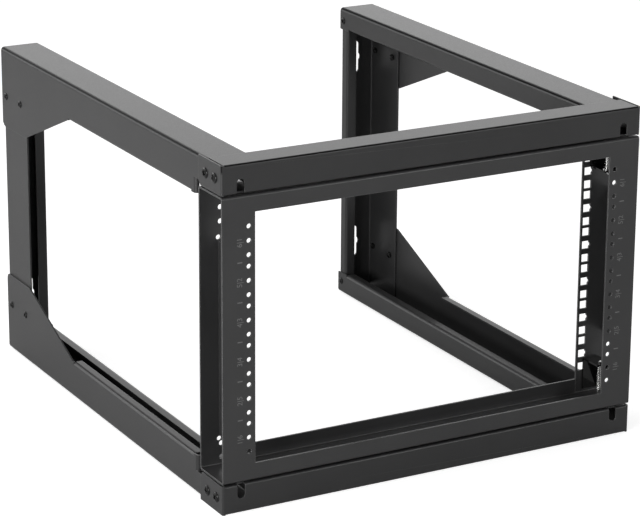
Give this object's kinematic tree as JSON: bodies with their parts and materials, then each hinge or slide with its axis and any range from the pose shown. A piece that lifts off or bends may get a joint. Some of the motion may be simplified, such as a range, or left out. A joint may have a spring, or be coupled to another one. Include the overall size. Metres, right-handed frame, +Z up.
{
  "type": "hinged wall mount rack",
  "caption": "Open wall mount rack for 19 inch equipment, folded from black sheet steel, with a front frame that swings out on spring-loaded pins.",
  "frame": {"origin": "middle of the rack's box: on its middle plane, halfway between floor and top, and halfway from the front face to the wall", "axes": "+X to the right seen from the front, +Y from the front to the wall, +Z up"},
  "size_m": [0.5344, 0.602, 0.393],
  "materials": {
    "frame_coat": "black powder coat, satin with a fine texture",
    "gate_coat": "black powder coat, satin with a fine texture",
    "screw_black": "black oxide",
    "zinc_plate": "bright zinc plate"
  },
  "bodies": {
    "wall_frame": {"top_front_bar": "frame_coat", "bottom_front_bar": "frame_coat", "top_left_arm": "frame_coat", "top_right_arm": "frame_coat", "bottom_left_arm": "frame_coat", "bottom_right_arm": "frame_coat", "left_wall_bracket": "frame_coat", "right_wall_bracket": "frame_coat", "left_tab_screws": "screw_black", "right_tab_screws": "screw_black", "left_gusset_screws": "screw_black", "right_gusset_screws": "screw_black", "left_flange_screws": "screw_black", "right_flange_screws": "screw_black"},
    "gate": {"gate_front_frame": "gate_coat", "gate_left_rear_rail": "gate_coat", "gate_right_rear_rail": "gate_coat", "gate_left_web": "gate_coat", "gate_right_web": "gate_coat", "top_hinge_bracket": "gate_coat", "bottom_hinge_bracket": "gate_coat", "top_hinge_washer": "zinc_plate", "bottom_hinge_washer": "zinc_plate", "top_hinge_spring": "zinc_plate", "bottom_hinge_spring": "zinc_plate"},
    "top_pin": {"top_hinge_pin": "zinc_plate"},
    "bottom_pin": {"bottom_hinge_pin": "zinc_plate"}
  },
  "joints": [
    {"name": "gate_swing", "type": "hinge", "parent": "wall_frame", "child": "gate", "pos_m": [0.2423, -0.2715, 0], "axis": [0, 0, 1], "range_deg": [0, 100]},
    {"name": "top_pin_slide", "type": "slide", "parent": "gate", "child": "top_pin", "axis": [0, 0, -1], "range_m": [0, 0.012], "stiffness_N_per_m": 300, "springref_m": -0.01, "deforming": ["top_hinge_spring"]},
    {"name": "bottom_pin_slide", "type": "slide", "parent": "gate", "child": "bottom_pin", "axis": [0, 0, 1], "range_m": [0, 0.012], "stiffness_N_per_m": 300, "springref_m": -0.01, "deforming": ["bottom_hinge_spring"]}
  ]
}
